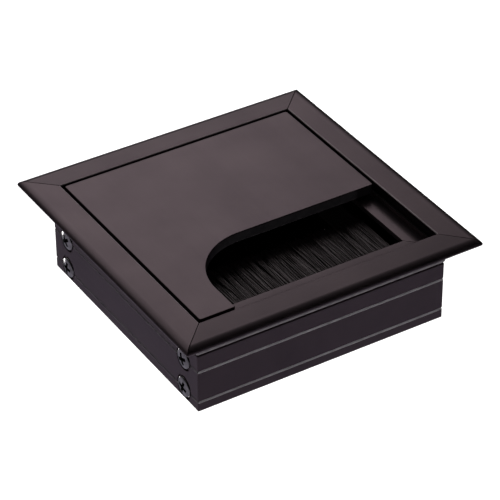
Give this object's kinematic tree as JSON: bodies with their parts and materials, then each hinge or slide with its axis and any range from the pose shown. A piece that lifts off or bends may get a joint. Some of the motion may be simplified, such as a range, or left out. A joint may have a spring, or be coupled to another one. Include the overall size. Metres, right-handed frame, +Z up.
{
  "type": "desk grommet",
  "caption": "Square black aluminium desk grommet: mitred flanged frame, flush loose lid with an L-shaped cable notch, and a brush that closes the notch around cables.",
  "frame": {"origin": "middle of the grommet's footprint, on the plane of the wall's bottom edge", "axes": "+Z up out of the desk top, -Y the front, where the notch's long open side and the brush's root are, +X to the right seen from the front"},
  "size_m": [0.095, 0.095, 0.0282],
  "materials": {
    "frame_aluminium": "black satin anodised",
    "lid_aluminium": "black satin anodised",
    "screw_steel": "black zinc",
    "channel_steel": "black coated steel",
    "nylon": "black nylon bristle",
    "felt": "pressed black felt"
  },
  "bodies": {
    "frame": {"front_rail": "frame_aluminium", "back_rail": "frame_aluminium", "left_rail": "frame_aluminium", "right_rail": "frame_aluminium", "left_screw_front_upper": "screw_steel", "left_screw_front_lower": "screw_steel", "left_screw_back_upper": "screw_steel", "left_screw_back_lower": "screw_steel", "right_screw_front_upper": "screw_steel", "right_screw_front_lower": "screw_steel", "right_screw_back_upper": "screw_steel", "right_screw_back_lower": "screw_steel", "brush_channel": "channel_steel", "brush_core_wire": "channel_steel", "bristle_root": "nylon"},
    "lid": {"lid": "lid_aluminium", "lid_pad_back_left": "felt", "lid_pad_back_right": "felt", "lid_pad_front_left": "felt", "lid_pad_front_right": "felt"},
    "bristles": {"bristles": "nylon"}
  },
  "joints": [
    {"name": "lid_lift", "type": "slide", "parent": "frame", "child": "lid", "axis": [0, 0, 1], "range_m": [0, 0.03]},
    {"name": "bristle_bend", "type": "hinge", "parent": "frame", "child": "bristles", "pos_m": [0, -0.031, 0.0201], "axis": [1, 0, 0], "range_deg": [-55, 10], "stiffness_Nm_per_rad": 0.05}
  ]
}
